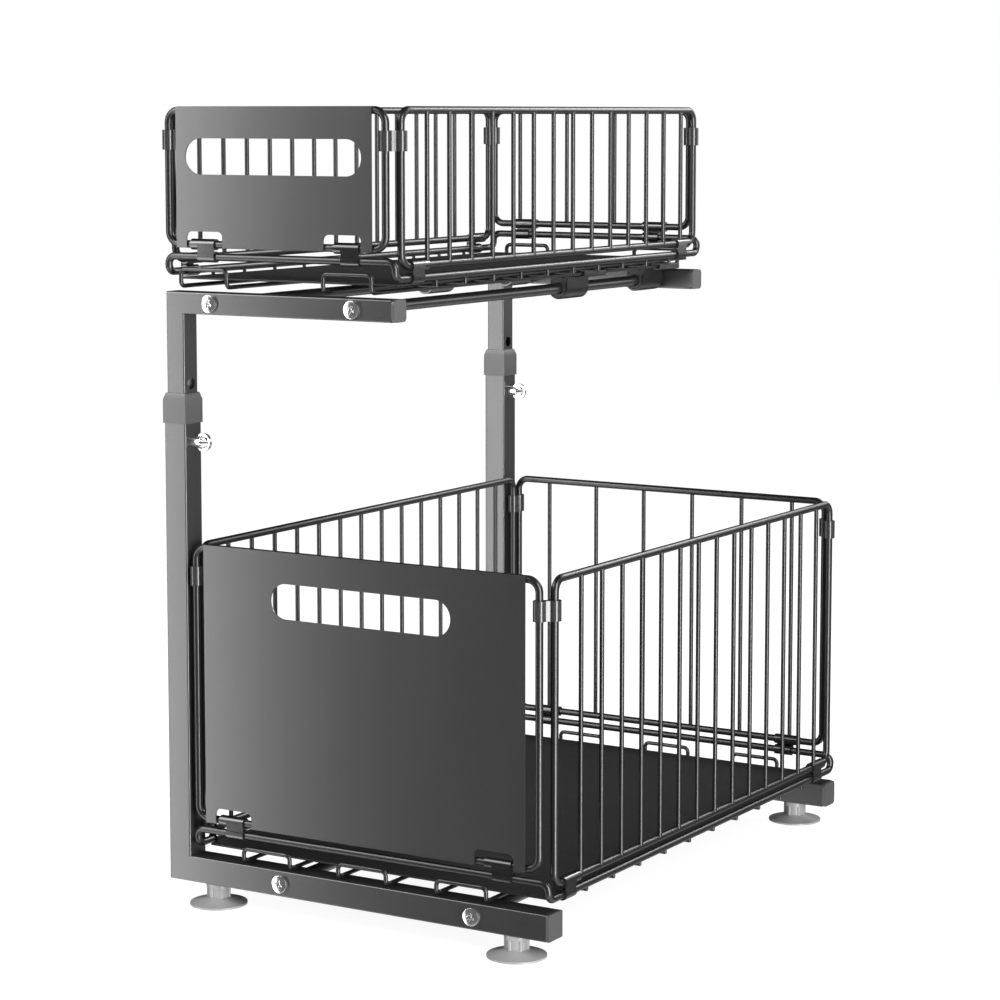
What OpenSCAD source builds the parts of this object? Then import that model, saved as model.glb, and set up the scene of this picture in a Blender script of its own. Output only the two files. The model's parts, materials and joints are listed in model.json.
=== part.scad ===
// Two-tier pull-out cabinet basket.
// Two square-tube frames, front and rear, stand on suction feet. Two pairs of round rods join
// them, and a folding wire basket hangs on each pair by sheet-metal hooks with nylon pads.
// The upper frame telescopes in the base posts and is held by wing bolts.
//
// Bench frame used by the modules: X to the right from the outer face of the base posts,
// Y back from the front face of the base rails, Z up from the underside of the base rails.
// place() moves that frame so that the origin is on the floor under the middle of the whole.

/* [Base frame] */
// Overall width of the base rails, end plug included
base_w = 307; // [270:1:360]
// Overall depth over the front and rear base rails
frame_d = 441; // [400:1:520]
// Outer size of the square base tube
base_tube = 18; // [17.6:0.1:20]
// Wall of the base tube
base_wall = 1.2; // [0.8:0.1:1.3]
// Height of the base posts above the rails' underside
post_h = 337; // [320:1:350]
// Outer corner radius of both square tubes
tube_round = 1; // [0.4:0.1:1.5]

/* [Upper frame] */
// Outer size of the square upper tube
upper_tube = 15; // [14:0.1:15]
// Wall of the upper tube
upper_wall = 1.2; // [0.8:0.1:1.5]
// Length of the upper rails, end plug included
upper_w = 187; // [170:1:240]
// Height of the upper rails' top face above the base rails' underside
upper_top = 411.5; // [400:0.5:440]

/* [Height adjustment] */
// Height of the wing bolts above the base rails' underside
bolt_z = 308; // [290:1:310]
// Diameter of the wing bolt's shank
bolt_d = 6; // [4:0.5:7]
// Diameter of the holes in the upper posts
hole_d = 8; // [6:0.5:9]
// Distance between the holes in the upper posts
hole_pitch = 40; // [30:1:45]
// Number of spare holes below the bolt, which let the upper tier rise
holes_below = 2; // [1:1:3]
// Number of spare holes above the bolt, which let the upper tier drop
holes_above = 1; // [1:1:1]
// Length of upper post below its lowest hole
post_tail = 22; // [12:1:40]
// Running clearance between parts that slide on each other
run_gap = 0.3; // [0.2:0.05:0.5]
// Height of the collar on each base post
collar_h = 21; // [18:0.5:28]
// Height of the bevel at the collar's top
collar_bevel = 4.7; // [3:0.1:6]
// Wall of the collar round the base post
collar_wall = 0.7; // [0.6:0.1:1.5]

/* [Slide rods] */
// Diameter of the rods that the baskets run on
rod_d = 8; // [7:0.5:9]
// X of the left lower rod
lower_rod_x = 94.5; // [90:0.5:98]
// Distance between the lower rods
lower_rod_span = 154; // [150:1:158]
// X of the left upper rod
upper_rod_x = 38.5; // [34:0.5:40]
// Distance between the upper rods
upper_rod_span = 117; // [114:1:120]
// Diameter of the screws that hold the rods
screw_d = 4; // [3:0.5:5]
// Diameter of the screw heads
screw_head_d = 12; // [8:0.5:13]
// Height of the screw heads
screw_head_h = 2.6; // [2:0.1:3.5]
// Depth of the threaded hole in each end of a rod
rod_thread = 12; // [8:1:20]

/* [Runners] */
// Length of each runner hook along the rod
hook_len = 32; // [24:1:36]
// Distance between the two hooks on one rod
hook_spacing = 118; // [80:1:160]
// Gap between the rear hook and the rear base rail
hook_stop = 1; // [0.5:0.1:3]
// How far the upper hooks' plates reach back past their hooks
plate_shift = 8; // [0:0.5:10]
// Sheet thickness of the hooks
hook_t = 1.5; // [1:0.1:2]
// Thickness of the nylon pad under the rod
pad_t = 2.1; // [1.5:0.1:2.5]

/* [Basket wires] */
// Diameter of the frame wire
wire_d = 5.2; // [4:0.1:5.6]
// Diameter of the grille bars
bar_d = 3.2; // [2:0.1:4]
// Diameter of the long floor wires
floor_d = 3; // [2.4:0.1:3.6]
// Diameter of the cross wires under the liner
cross_d = 2.6; // [2:0.1:3]
// Bend radius of the panel frames, at the wire's middle
bend_r = 8.5; // [5:0.5:12]
// Gap left between wires that are welded side by side
weld_gap = 0.05; // [0.02:0.01:0.1]

/* [Trays] */
// Distance between the front and rear crossbars of the lower tray
lower_tray_d = 434; // [410:1:438]
// Distance between the front and rear crossbars of the upper tray
upper_tray_d = 428; // [410:1:438]
// Y of the front crossbars
tray_y = 3; // [2:0.5:8]
// X of the lower tray's left bar
lower_tray_x = 22.9; // [22.7:0.1:26]
// Distance between the lower tray's side bars
lower_tray_w = 282; // [270:1:300]
// X of the upper tray's left bar
upper_tray_x = 3.4; // [3:0.1:8]
// Distance between the upper tray's side bars
upper_tray_w = 185; // [178:1:200]
// Height of the crossbars above the side bars
crossbar_rise = 11; // [8:0.5:14]
// Gap between the base rails and the lower floor wires
lower_floor_gap = 0.6; // [0.3:0.1:2]
// Gap between the upper rails and the upper floor wires
upper_floor_gap = 2.5; // [1.5:0.1:3.5]
// Height of the lower side bars above the cross wires
lower_bar_rise = 4; // [4:0.1:6]
// Height of the upper side bars above the cross wires
upper_bar_rise = 6.5; // [4:0.1:8]
// Number of cross wires in each tray
cross_n = 10; // [6:1:11]
// Distance from the front crossbar to the first cross wire
cross_first = 49.9; // [44:0.1:60]
// Distance between cross wires
cross_pitch = 36.9; // [30:0.1:38]
// Thickness of the floor liner
liner_t = 1.5; // [1:0.1:2]
// Distance from the crossbars to the liner's edges
liner_setback = 9; // [6:0.5:20]

/* [Floor loops] */
// Width of each loop, between the middles of its two wires
loop_w = 38.5; // [34:0.5:42]
// Number of loops in the lower tray
lower_loop_n = 3; // [3:2:3]
// Distance from the lower left rod to the middle of the loop over it
lower_left_loop = 12.2; // [10:0.1:13]
// Distance from the lower right rod to the middle of the loop over it
lower_right_loop = 9.2; // [8:0.1:13]
// Height of the lower loops above the floor wires
lower_loop_rise = 9; // [8:0.5:10]
// Distance from the upper left rod to the middle of the loop over it
upper_left_loop = 4.5; // [3:0.1:9]
// Distance from the upper right rod to the middle of the loop over it
upper_right_loop = 3.9; // [3:0.1:9]
// Height of the upper loops above the floor wires
upper_loop_rise = 11.5; // [8:0.5:13]
// Bend radius of the loops
loop_r = 3.5; // [2.5:0.1:3.8]
// Distance that the loops stand in front of the crossbar
loop_proud = 1.5; // [0:0.5:2]

/* [Panels] */
// Height of the lower basket's top wires above its side bars
lower_side_h = 209; // [180:1:220]
// Height of the upper basket's top wires above its side bars
upper_side_h = 110; // [90:1:140]
// Distance between a panel's bottom wire and the tray bar under it
panel_lift = 8.4; // [8:0.1:10]
// How much narrower the front and back panels are than the tray
end_inset = 8; // [7:0.5:10]
// How far the front panel and the floor loops sit left of the tray's middle
end_shift = 3.1; // [2:0.1:3.4]
// Distance from the crossbars to the side panels' end wires
side_setback = 7.5; // [7:0.5:12]
// Distance from a lower side panel's front wire to its first bar
lower_bar_first = 32.2; // [20:0.1:40]
// Distance from an upper side panel's front wire to its first bar
upper_bar_first = 29.6; // [20:0.1:40]
// Distance between side bars
bar_pitch = 27.75; // [22:0.05:36]
// How far the bars sit outwards of the panels' frame wires
bar_out = 1.2; // [0:0.1:1.5]
// Distance between bars in the back panels
back_pitch = 43.4; // [36:0.1:50]

/* [Front sheets] */
// Thickness of the front sheet
sheet_t = 1; // [0.6:0.1:1.2]
// Distance from the front frame's side wires to the sheet's edges
sheet_inset = 8.7; // [5:0.1:12]
// Width of the hand slot
slot_w = 143.5; // [100:0.5:150]
// Height of the hand slot
slot_h = 24.3; // [20:0.1:30]
// Distance from the sheet's top edge to the slot's middle
slot_drop = 33.5; // [25:0.5:40]
// Width of the two notches at the sheet's foot
notch_w = 30; // [24:0.5:34]
// Height of the notches
notch_h = 11; // [8:0.5:14]
// Distance from the sheet's sides to the notches
notch_inset = 8.5; // [5:0.5:14]
// Corner radius of the notches
notch_r = 4; // [2:0.5:5]

/* [Clips] */
// Wall of the plastic corner clips
clip_wall = 1.7; // [1.2:0.1:1.8]
// Height of the corner clips
clip_h = 13.5; // [10:0.5:18]
// Distance from the top wires down to the corner clips' middle
clip_drop = 20; // [14:0.5:30]
// Sheet thickness of the hinge clips at the foot of the panels
hinge_wall = 1.2; // [0.8:0.1:1.3]
// Width of the hinge clips round the panels' wires
hinge_w = 20; // [16:0.5:24]
// Width of the hinge clips' tabs round the tray bars
hinge_tab = 14; // [10:0.5:16]
// How far the front hinge clips sit outwards of the notches' middle
hinge_shift = 2.5; // [0:0.5:3]
// Distance from the tray's ends to the side panels' hinge clips
side_hinge = 27; // [26:0.5:28]

/* [Feet] */
// Height of the suction feet
foot_h = 15; // [12:0.5:20]
// Diameter of the suction discs
foot_d = 40; // [30:1:44]
// Diameter of the fluted hub
hub_d = 17; // [12:0.5:18]
// Number of flutes round the hub
flute_n = 6; // [4:1:16]
// X of the left feet
foot_x = 35.5; // [24:0.5:40]
// Distance from the rails' right end to the right feet
foot_end = 29.5; // [24:0.5:40]
// Diameter of the feet's studs
stud_d = 5; // [4:0.5:6]

/* [Hidden] */
$fn = 40;

plug_t = 2.5;                                  // flange of the tube plugs
plug_stem = 12;                                // stem of the plugs inside the tube
plug_wall = 1.5;                               // wall of the plugs' stems
fit_gap = 0.1;                                 // clearance of parts that are pushed together
plug_round = 3;                                // rounded corners of the plugs
base_front_plug_round = tube_round;            // the front base plug is square-cornered
inset = (base_tube - upper_tube) / 2;          // upper tube inside the base tube
rear_y = frame_d - base_tube;                  // front face of the rear base rail
post_hole_z = [for (k = [-holes_below : holes_above]) bolt_z + k * hole_pitch];
upper_post_len = upper_top - (bolt_z - holes_below * hole_pitch - post_tail);
collar_z = post_h + collar_bevel - collar_h;
collar_lip = 0.5;                              // flat left round the opening at the collar's top
nut_flange = 0.8;                              // nut flange outside the post
nut_d = 8;
nut_bore = 0.7 * bolt_d;                       // drilled for the bolt's thread
bolt_hub_d = bolt_d + 1.4;                     // hub outside the post, wider than the shank's hole
bolt_hub_h = 6;
bolt_grip_r = 6.1;                             // round flat grip at the hub's end
bolt_grip_t = 1.6;
bolt_grip_x = 8.4;                             // grip's middle, from the hub's foot
bolt_rim = 0.6;                                // how far the grip's rim stands out on each side
bolt_rim_w = 1.3;
lower_rod_z = base_tube / 2;
upper_rod_z = upper_top - upper_tube / 2;
recess_w = 1.2;                                // arms of the screws' cross recess
recess_depth = 1.4;
screw_gap = 0.2;                               // clearance of the screws in their holes
screw_reach = 10;                              // screw length inside the rod
lower_floor_z = base_tube + lower_floor_gap + floor_d / 2;
upper_floor_z = upper_top + upper_floor_gap + floor_d / 2;
cross_lift = (floor_d + cross_d) / 2 + weld_gap;
lower_bar_z = lower_floor_z + cross_lift + lower_bar_rise;
upper_bar_z = upper_floor_z + cross_lift + upper_bar_rise;
sheet_foot = 0.4;                              // sheet's foot above the bottom wire's underside
sheet_top = 0.2;                               // sheet's top edge below the top wire's top
clip_r = wire_d / 2 + clip_wall;
hinge_r = wire_d / 2 + hinge_wall;
clip_hole = wire_d / 2 + weld_gap;
left_edge = max(nut_flange, fit_gap + collar_wall, clip_r - upper_tray_x);
right_edge = max(base_w, lower_tray_x + lower_tray_w + clip_r);
mid_x = (right_edge - left_edge) / 2;
mid_y = frame_d / 2;
right_foot_x = base_w - foot_end;
stud_reach = 6;                                // stud inside the base rail
hub_foot = 5;                                  // top of the suction skirt
hub_cap = 3;                                   // plain band at the hub's top
flute_depth = 1;
stud_foot = 7.5;                               // bottom of the stud's hole in the foot
rib_r = 1.4;                                   // rounded ribs between the flutes
rib_sink = 0.15;                               // how far the ribs stay inside the plain band
disc_hollow = 2.2;                             // height of the hollow under the disc's middle
disc_seat = 2.4;                               // width of the ring that rests on the floor
disc_edge = 1.3;                               // height of the disc's edge
disc_chamfer = 0.5;
disc_slope = 5.6;                              // width of the slope from the edge to the shoulder
disc_shoulder = 2.6;                           // height of the shoulder
stud_nut_wall = 2.25;                          // nut on the stud, inside the rail
stud_nut_h = 2.6;

// Bench frame to part frame.
module place() {
    translate([-mid_x, -mid_y, foot_h]) children();
}

// A basket's own frame: X from its left bar, Y from its front crossbar, Z from its side bars.
module at_lower() {
    translate([lower_tray_x, tray_y, lower_bar_z]) children();
}

module at_upper() {
    translate([upper_tray_x, tray_y, upper_bar_z]) children();
}

// ---- shapes that repeat ----

module rounded_square(size, r) {
    for (x = [r, size - r], y = [r, size - r])
        translate([x, y]) circle(r);
    translate([r, 0]) square([size - 2 * r, size]);
    translate([0, r]) square([size, size - 2 * r]);
}

// Square tube along +X from the outer corner of a mitre, where z = x.
module mitred_tube(len, size, wall) {
    intersection() {
        rotate([90, 0, 90]) linear_extrude(len) difference() {
            rounded_square(size, tube_round);
            translate([wall, wall]) square(size - 2 * wall);
        }
        translate([0, size, 0]) rotate([90, 0, 0]) linear_extrude(size)
            polygon([[0, 0], [len, 0], [len, size], [size, size]]);
    }
}

module round_hole_x(d, len) {
    rotate([0, 90, 0]) cylinder(d = d, h = len);
}

module round_hole_y(d, len) {
    rotate([-90, 0, 0]) cylinder(d = d, h = len);
}

// Plug with a hollow stem, its flange's inner face at x = 0.
module tube_plug(size, wall, r) {
    stem = size - 2 * wall - 2 * fit_gap;
    rotate([90, 0, 90]) linear_extrude(plug_t) rounded_square(size, r);
    translate([-plug_stem, wall + fit_gap, wall + fit_gap]) difference() {
        cube([plug_stem, stem, stem]);
        translate([-1, plug_wall, plug_wall])
            cube([plug_stem - 1, stem - 2 * plug_wall, stem - 2 * plug_wall]);
    }
}

module elbow(r, d) {
    rotate_extrude(angle = 90) translate([r, 0]) circle(d = d);
}

// Wire bent into a rounded rectangle in the XY plane, its corner at the origin.
module wire_ring(w, h, r, d) {
    for (s = [0, 1]) {
        translate([r, s * h, 0]) rotate([0, 90, 0]) cylinder(d = d, h = w - 2 * r);
        translate([s * w, r, 0]) rotate([-90, 0, 0]) cylinder(d = d, h = h - 2 * r);
    }
    for (c = [[w - r, h - r, 0], [r, h - r, 90], [r, r, 180], [w - r, r, 270]])
        translate([c[0], c[1], 0]) rotate(c[2]) elbow(r, d);
}

// Wire ring lying flat, both of whose ends turn up.
module hoop(w, len, rise, r, d) {
    for (x = [0, w])
        translate([x, r, 0]) rotate([-90, 0, 0]) cylinder(d = d, h = len - 2 * r);
    for (s = [0, 1])
        translate([0, s * len, 0]) mirror([0, s, 0]) hoop_end(w, rise, r, d);
}

module hoop_end(w, rise, r, d) {
    for (s = [0, 1])
        translate([s * w, 0, 0]) mirror([s, 0, 0]) {
            translate([0, r, r]) rotate([90, 0, 90]) rotate(180) elbow(r, d);
            if (rise > 2 * r) translate([0, 0, r]) cylinder(d = d, h = rise - 2 * r);
            translate([r, 0, rise - r]) rotate([90, 0, 0]) rotate(90) elbow(r, d);
        }
    translate([r, 0, rise]) rotate([0, 90, 0]) cylinder(d = d, h = w - 2 * r);
}

// ---- frames ----

module base_rail(plug_round_r) {
    len = base_w - plug_t;
    difference() {
        mitred_tube(len, base_tube, base_wall);
        for (x = [lower_rod_x, lower_rod_x + lower_rod_span])
            translate([x, -1, lower_rod_z]) round_hole_y(screw_d + 2 * screw_gap, base_tube + 2);
        for (x = [foot_x, right_foot_x])
            translate([x, base_tube / 2, -1])
                cylinder(d = stud_d + 2 * fit_gap, h = base_wall + 2);
    }
}

module base_post() {
    difference() {
        mirror([1, 0, -1]) mitred_tube(post_h, base_tube, base_wall);
        translate([base_tube - base_wall - 1, base_tube / 2, bolt_z])
            round_hole_x(bolt_d + 2 * run_gap, base_wall + 2);
        translate([-1, base_tube / 2, bolt_z]) round_hole_x(bolt_d + 2 * fit_gap, base_wall + 2);
    }
}

module upper_rail() {
    difference() {
        mitred_tube(upper_w - plug_t, upper_tube, upper_wall);
        for (x = [upper_rod_x, upper_rod_x + upper_rod_span])
            translate([x - inset, -1, upper_tube / 2])
                round_hole_y(screw_d + 2 * screw_gap, upper_tube + 2);
    }
}

module upper_post() {
    difference() {
        mirror([1, 0, -1]) mitred_tube(upper_post_len, upper_tube, upper_wall);
        for (z = post_hole_z)
            translate([-1, upper_tube / 2, upper_top - z]) round_hole_x(hole_d, upper_tube + 2);
    }
}

// The upper frames hang from their top corner, so they are drawn upside down.
module at_upper_frame(y) {
    translate([inset, y + inset, upper_top]) mirror([0, 0, 1]) children();
}

module collar() {
    outer = base_tube + 2 * (fit_gap + collar_wall);
    lip = upper_tube + 2 * run_gap;
    bevel = (outer - lip) / 2 - collar_lip;
    side = [[0, 0], [outer, 0], [outer, collar_h - collar_bevel],
        [outer - bevel, collar_h], [bevel, collar_h], [0, collar_h - collar_bevel]];
    translate([-fit_gap - collar_wall, -fit_gap - collar_wall, collar_z]) difference() {
        intersection() {
            translate([0, outer, 0]) rotate([90, 0, 0]) linear_extrude(outer) polygon(side);
            rotate([90, 0, 90]) linear_extrude(outer) polygon(side);
        }
        translate([collar_wall, collar_wall, -1])
            cube([outer - 2 * collar_wall, outer - 2 * collar_wall, post_h - collar_z + 1 + fit_gap]);
        translate([(outer - lip) / 2, (outer - lip) / 2, -1]) cube([lip, lip, collar_h + 2]);
    }
}

module foot(x, y) {
    translate([x, y, -foot_h]) color([0.62, 0.62, 0.63]) difference() {
        union() {
            rotate_extrude() foot_profile();
            for (a = [0 : 360 / flute_n : 359])
                rotate(a) translate([hub_d / 2 - rib_r - rib_sink, 0, hub_foot])
                    cylinder(r = rib_r, h = foot_h - hub_cap - hub_foot);
        }
        translate([0, 0, stud_foot]) cylinder(d = stud_d + 2 * fit_gap, h = foot_h);
    }
}

// Suction disc with a shallow hollow below, a sloping skirt and the hub.
module foot_profile() {
    rim = foot_d / 2;
    polygon([[0, disc_hollow], [rim - disc_chamfer - disc_seat, 0], [rim - disc_chamfer, 0],
        [rim, disc_chamfer], [rim, disc_edge], [rim - disc_slope, disc_shoulder],
        [hub_d / 2, hub_foot],
        [hub_d / 2 - flute_depth, hub_foot], [hub_d / 2 - flute_depth, foot_h - hub_cap],
        [hub_d / 2, foot_h - hub_cap], [hub_d / 2, foot_h], [0, foot_h]]);
}

module foot_stud(x, y) {
    translate([x, y, 0]) {
        translate([0, 0, stud_foot + fit_gap - foot_h])
            cylinder(d = stud_d, h = foot_h - stud_foot - fit_gap + stud_reach);
        translate([0, 0, base_wall])
            cylinder(d = stud_d + 2 * stud_nut_wall, h = stud_nut_h, $fn = 6);
    }
}

// ---- rods and fasteners ----

module rod(x, y, z, len) {
    translate([x, y, z]) difference() {
        round_hole_y(rod_d, len);
        for (s = [0, 1])
            translate([0, s * len, 0]) mirror([0, s, 0]) translate([0, -1, 0])
                round_hole_y(screw_d + 2 * fit_gap, rod_thread + 1);
    }
}

module lower_rod(x) {
    color([0.2, 0.2, 0.21]) rod(x, base_tube, lower_rod_z, frame_d - 2 * base_tube);
}

module upper_rod(x) {
    color([0.2, 0.2, 0.21])
        rod(x, inset + upper_tube, upper_rod_z, frame_d - 2 * (inset + upper_tube));
}

// Pan-head cross-recess screw; its head's underside is at y = 0 and its shank runs to +Y.
module rod_screw(grip) {
    recess = screw_head_d / 2;
    difference() {
        rotate([90, 0, 0]) rotate_extrude() screw_head_profile();
        for (a = [0, 90])
            rotate([0, a, 0]) translate([-recess / 2, -screw_head_h - 1, -recess_w / 2])
                cube([recess, 1 + recess_depth, recess_w]);
    }
    round_hole_y(screw_d, grip + screw_reach);
}

module screw_head_profile() {
    r = screw_head_d / 2;
    dome_r = 1.6 * r;
    intersection() {
        square([r, screw_head_h]);
        translate([0, screw_head_h - dome_r]) circle(dome_r);
    }
}

module rod_screws(x0, span, z, off, tube) {
    for (x = [x0, x0 + span]) {
        translate([x, off, z]) rod_screw(tube);
        translate([x, frame_d - off, z]) mirror([0, 1, 0]) rod_screw(tube);
    }
}

// Clinch nut set in the outer wall of a base post.
module height_nut(y) {
    translate([0, y + base_tube / 2, bolt_z]) difference() {
        union() {
            translate([-nut_flange, 0, 0]) round_hole_x(nut_d, nut_flange);
            round_hole_x(bolt_d, base_wall);
        }
        translate([-nut_flange - 1, 0, 0]) round_hole_x(nut_bore, nut_flange + base_wall + 2);
    }
}

// Wing bolt with a round flat grip; its tip stops just short of the upper post, so that the
// post is free to slide.
module wing_bolt(y) {
    tip = base_tube - inset + run_gap;
    color(chrome_grey) translate([0, y + base_tube / 2, bolt_z]) {
        translate([tip, 0, 0]) round_hole_x(bolt_d, base_tube - tip + run_gap);
        translate([base_tube + run_gap, 0, 0]) {
            round_hole_x(bolt_hub_d, bolt_hub_h);
            translate([bolt_grip_x, 0, 0]) rotate([90, 0, 0]) bolt_grip();
        }
    }
}

module bolt_grip() {
    rim_t = bolt_grip_t + 2 * bolt_rim;
    cylinder(r = bolt_grip_r, h = bolt_grip_t, center = true);
    difference() {
        cylinder(r = bolt_grip_r, h = rim_t, center = true);
        cylinder(r = bolt_grip_r - bolt_rim_w, h = rim_t + 2, center = true);
    }
}

// ---- baskets, in a basket's own frame ----

module tray_rim(w, d) {
    hoop(w, d, crossbar_rise, crossbar_rise / 2, wire_d);
}

module floor_loop(x, d, z, rise) {
    translate([x - loop_w / 2, -loop_proud, z])
        hoop(loop_w, d + 2 * loop_proud, rise, loop_r, floor_d);
}

// Cross wires lie on the floor wires, and their ends turn up to the side bars' undersides.
module cross_wires(w, z) {
    for (i = [0 : cross_n - 1])
        translate([0, cross_first + i * cross_pitch, z]) {
            rotate([0, 90, 0]) cylinder(d = cross_d, h = w);
            for (x = [0, w])
                translate([x, 0, 0]) {
                    sphere(d = cross_d);
                    cylinder(d = cross_d, h = -z - wire_d / 2 - weld_gap);
                }
        }
}

module liner(w, d, z) {
    edge = hinge_r + fit_gap;
    translate([edge, liner_setback, z + cross_d / 2 + weld_gap])
        cube([w - 2 * edge, d - 2 * liner_setback, liner_t]);
}

// X of the end panels' left and right wires.
function end_left(w) = end_inset / 2 - end_shift;
function end_right(w) = w - end_inset / 2 - end_shift;

module end_frame(w, side_h) {
    z0 = crossbar_rise + panel_lift;
    translate([end_left(w), 0, z0]) rotate([90, 0, 0])
        wire_ring(w - end_inset, side_h - z0, bend_r, wire_d);
}

// X of the back panel's bars.
function back_bars(w) =
    let (frame_w = w - end_inset)
    let (n = floor((frame_w - 2 * back_pitch) / back_pitch) + 2)
    [for (i = [0 : n - 1]) end_left(w) + frame_w / 2 + (i - (n - 1) / 2) * back_pitch];

// Y of a side panel's bars.
function side_bars(d, first) =
    let (n = floor((d - 2 * side_setback - first - bar_pitch / 2) / bar_pitch) + 1)
    [for (i = [0 : n - 1]) side_setback + first + i * bar_pitch];

module back_panel(w, d, side_h) {
    z0 = crossbar_rise + panel_lift;
    translate([0, d, 0]) {
        end_frame(w, side_h);
        for (x = back_bars(w))
            translate([x, bar_out, z0]) cylinder(d = bar_d, h = side_h - z0);
    }
}

// Side panel whose bars stand on the side that out points to.
module side_panel(x, d, side_h, first, out) {
    translate([x, 0, panel_lift]) {
        translate([0, side_setback, 0]) rotate([90, 0, 90])
            wire_ring(d - 2 * side_setback, side_h - panel_lift, bend_r, wire_d);
        for (y = side_bars(d, first))
            translate([out * bar_out, y, 0]) cylinder(d = bar_d, h = side_h - panel_lift);
    }
}

// Front sheet with a hand slot and two notches for the hinge clips.
module front_sheet(w, side_h) {
    sheet_w = w - end_inset - 2 * sheet_inset;
    foot = crossbar_rise + panel_lift - wire_d / 2 + sheet_foot;
    height = side_h + wire_d / 2 - sheet_top - foot;
    translate([end_left(w) + sheet_inset, -wire_d / 2 - weld_gap, foot]) rotate([90, 0, 0])
        linear_extrude(sheet_t) difference() {
            square([sheet_w, height]);
            translate([sheet_w / 2, height - slot_drop]) {
                square([slot_w - slot_h, slot_h], center = true);
                for (s = [-1, 1])
                    translate([s * (slot_w - slot_h) / 2, 0]) circle(d = slot_h);
            }
            for (s = [0, 1])
                translate([s * sheet_w, 0]) mirror([s, 0]) translate([notch_inset, 0]) notch();
        }
}

module notch() {
    translate([0, -1]) square([notch_w, notch_h - notch_r + 1]);
    translate([notch_r, -1]) square([notch_w - 2 * notch_r, notch_h + 1]);
    for (x = [notch_r, notch_w - notch_r])
        translate([x, notch_h - notch_r]) circle(notch_r);
}

// Clip round two upright wires, the first at the origin and the second at [dx, dy].
module corner_clip(dx, dy) {
    web = wire_d * 0.9;
    gap = norm([dx, dy]);
    linear_extrude(clip_h) rotate(atan2(dy, dx)) difference() {
        union() {
            circle(clip_r);
            translate([gap, 0]) circle(clip_r);
            translate([0, -web / 2]) square([gap, web]);
        }
        circle(clip_hole);
        translate([gap, 0]) circle(clip_hole);
    }
}

module corner_clips(w, d, side_h) {
    for (s = [0, 1])
        translate([0, s * d, side_h - clip_drop - clip_h / 2]) mirror([0, s, 0]) {
            translate([end_left(w), 0, 0]) corner_clip(-end_left(w), side_setback);
            translate([end_right(w), 0, 0]) corner_clip(w - end_right(w), side_setback);
        }
}

// Hinge clip rolled round a panel's bottom wire, with a narrower tab round the tray bar below
// it. The bar runs along X through the origin, the flat of the tab faces -Y, and the tab is at
// the end that side points to.
module hinge_clip(side) {
    tab_x = side > 0 ? hinge_w / 2 - hinge_tab : -hinge_w / 2;
    translate([-hinge_w / 2, 0, panel_lift]) rotate([90, 0, 90]) linear_extrude(hinge_w)
        difference() {
            circle(hinge_r);
            circle(clip_hole);
        }
    translate([tab_x, 0, 0]) rotate([90, 0, 90]) linear_extrude(hinge_tab) difference() {
        union() {
            circle(hinge_r);
            translate([-hinge_r, 0]) square([hinge_wall, panel_lift]);
        }
        circle(clip_hole);
    }
}

// The clips are notched where a bar stands on the wire.
module hinge_clips(w, d, first) {
    mid = w / 2 - end_shift;
    reach = (w - end_inset) / 2 - sheet_inset - notch_inset - notch_w / 2 + hinge_shift;
    for (s = [-1, 1])
        translate([mid + s * reach, 0, crossbar_rise]) hinge_clip(1);
    difference() {
        for (s = [-1, 1])
            translate([mid + s * reach, d, crossbar_rise]) rotate(180) hinge_clip(1);
        for (x = back_bars(w))
            bar_notch(x, d + bar_out, crossbar_rise + panel_lift);
    }
    difference() {
        for (y = [side_hinge, d - side_hinge]) {
            translate([0, y, 0]) rotate(-90) hinge_clip(1);
            translate([w, y, 0]) rotate(90) hinge_clip(-1);
        }
        for (y = side_bars(d, first)) {
            bar_notch(-bar_out, y, panel_lift);
            bar_notch(w + bar_out, y, panel_lift);
        }
    }
}

module bar_notch(x, y, z) {
    translate([x, y, z - fit_gap]) cylinder(d = bar_d + 2 * fit_gap, h = 2 * hinge_r);
}

// ---- runners, in the bench frame ----

// Plate under the two floor wires at x = left and x = right, its lips outside them. The
// profile lies in XZ about the rod's middle.
module plate_profile(left, right, wire_z) {
    seat = wire_z - floor_d / 2 - weld_gap;
    edge = floor_d / 2 + weld_gap;
    translate([left - edge - hook_t, seat - hook_t])
        square([right - left + 2 * (edge + hook_t), hook_t]);
    for (x = [left - edge - hook_t, right + edge])
        translate([x, seat - hook_t]) square([hook_t, hook_t + floor_d - weld_gap]);
}

// Hook that hangs from the plate and goes round the rod and its pad.
module hook_profile(wire_z) {
    inner = rod_d / 2 + run_gap + pad_t + fit_gap;
    outer = inner + hook_t;
    seat = wire_z - floor_d / 2 - weld_gap;
    translate([inner, 0]) square([hook_t, seat - hook_t / 2]);
    difference() {
        circle(outer);
        circle(inner);
        translate([-outer - 1, 0]) square([outer + 1 + inner, outer]);
        translate([inner - 1, 0]) square([2, inner]);
    }
}

module pad_profile(wire_z) {
    outer = rod_d / 2 + run_gap + pad_t;
    seat = wire_z - floor_d / 2 - weld_gap - hook_t - weld_gap;
    difference() {
        union() {
            circle(outer);
            translate([-outer, 0]) square([2 * outer, seat]);
        }
        circle(rod_d / 2 + run_gap);
    }
}

hook_y = [for (k = [1, 0]) rear_y - hook_stop - hook_len - k * hook_spacing];

module along_rod(x, y, z) {
    translate([x, y + hook_len, z]) rotate([90, 0, 0]) linear_extrude(hook_len) children();
}

module runner_hooks(loop_x, rods, rod_z, floor_z, shift) {
    for (i = [0, 1], y = hook_y) {
        along_rod(rods[i], y + shift, rod_z)
            plate_profile(loop_x[i] - loop_w / 2 - rods[i], loop_x[i] + loop_w / 2 - rods[i],
                floor_z - rod_z);
        along_rod(rods[i], y, rod_z) hook_profile(floor_z - rod_z);
    }
}

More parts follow.
